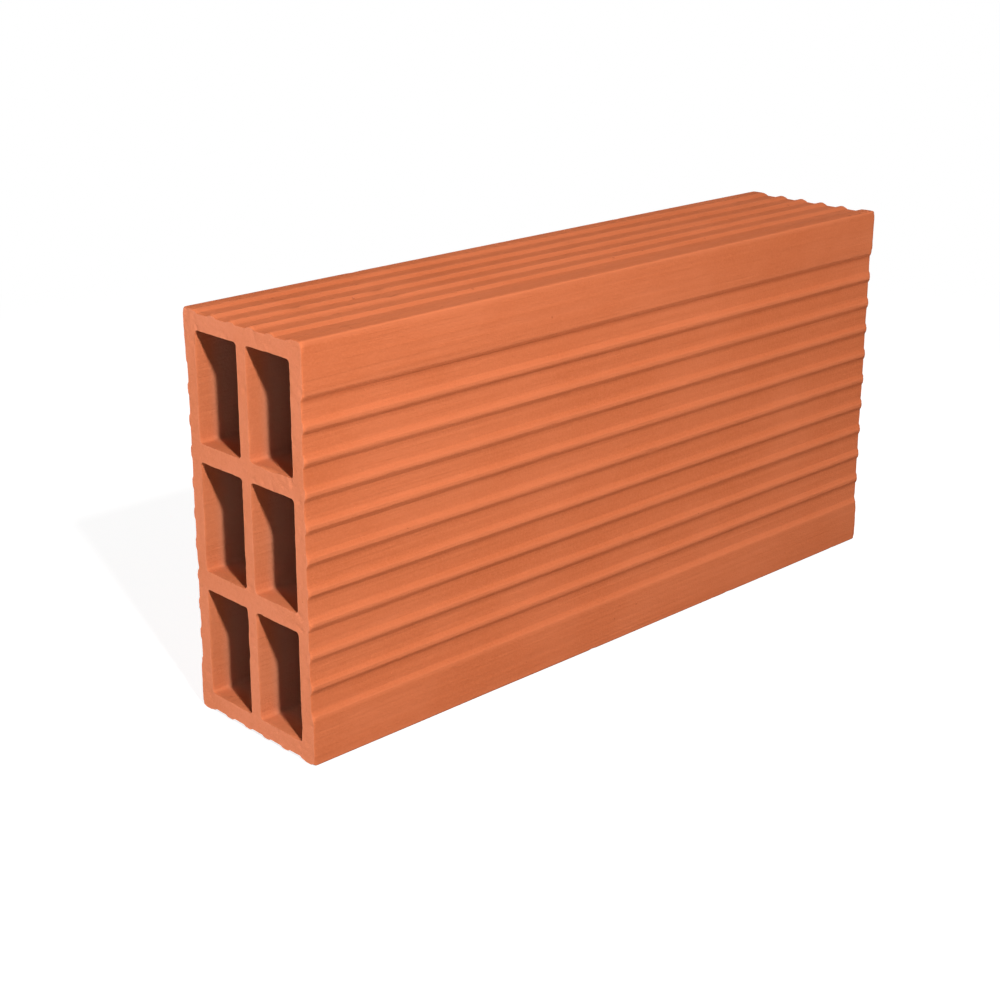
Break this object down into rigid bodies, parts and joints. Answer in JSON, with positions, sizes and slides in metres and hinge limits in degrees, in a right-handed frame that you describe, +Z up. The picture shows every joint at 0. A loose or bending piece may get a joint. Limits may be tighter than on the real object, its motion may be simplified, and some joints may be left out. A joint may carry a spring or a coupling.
{
  "type": "hollow clay brick",
  "caption": "Extruded hollow clay brick: rectangular cells run its full length, and shallow key channels run along its side and bed faces.",
  "frame": {"origin": "middle of the lower bed face, on the plane of its margins and ridges", "axes": "+X along the cells and the brick's length, +Y through the wall's thickness, +Z up, from one bed face to the other"},
  "size_m": [0.33, 0.07, 0.16],
  "materials": {
    "fired_clay": "matte"
  },
  "bodies": {
    "root": {"hollow_brick": "fired_clay"}
  },
  "joints": []
}
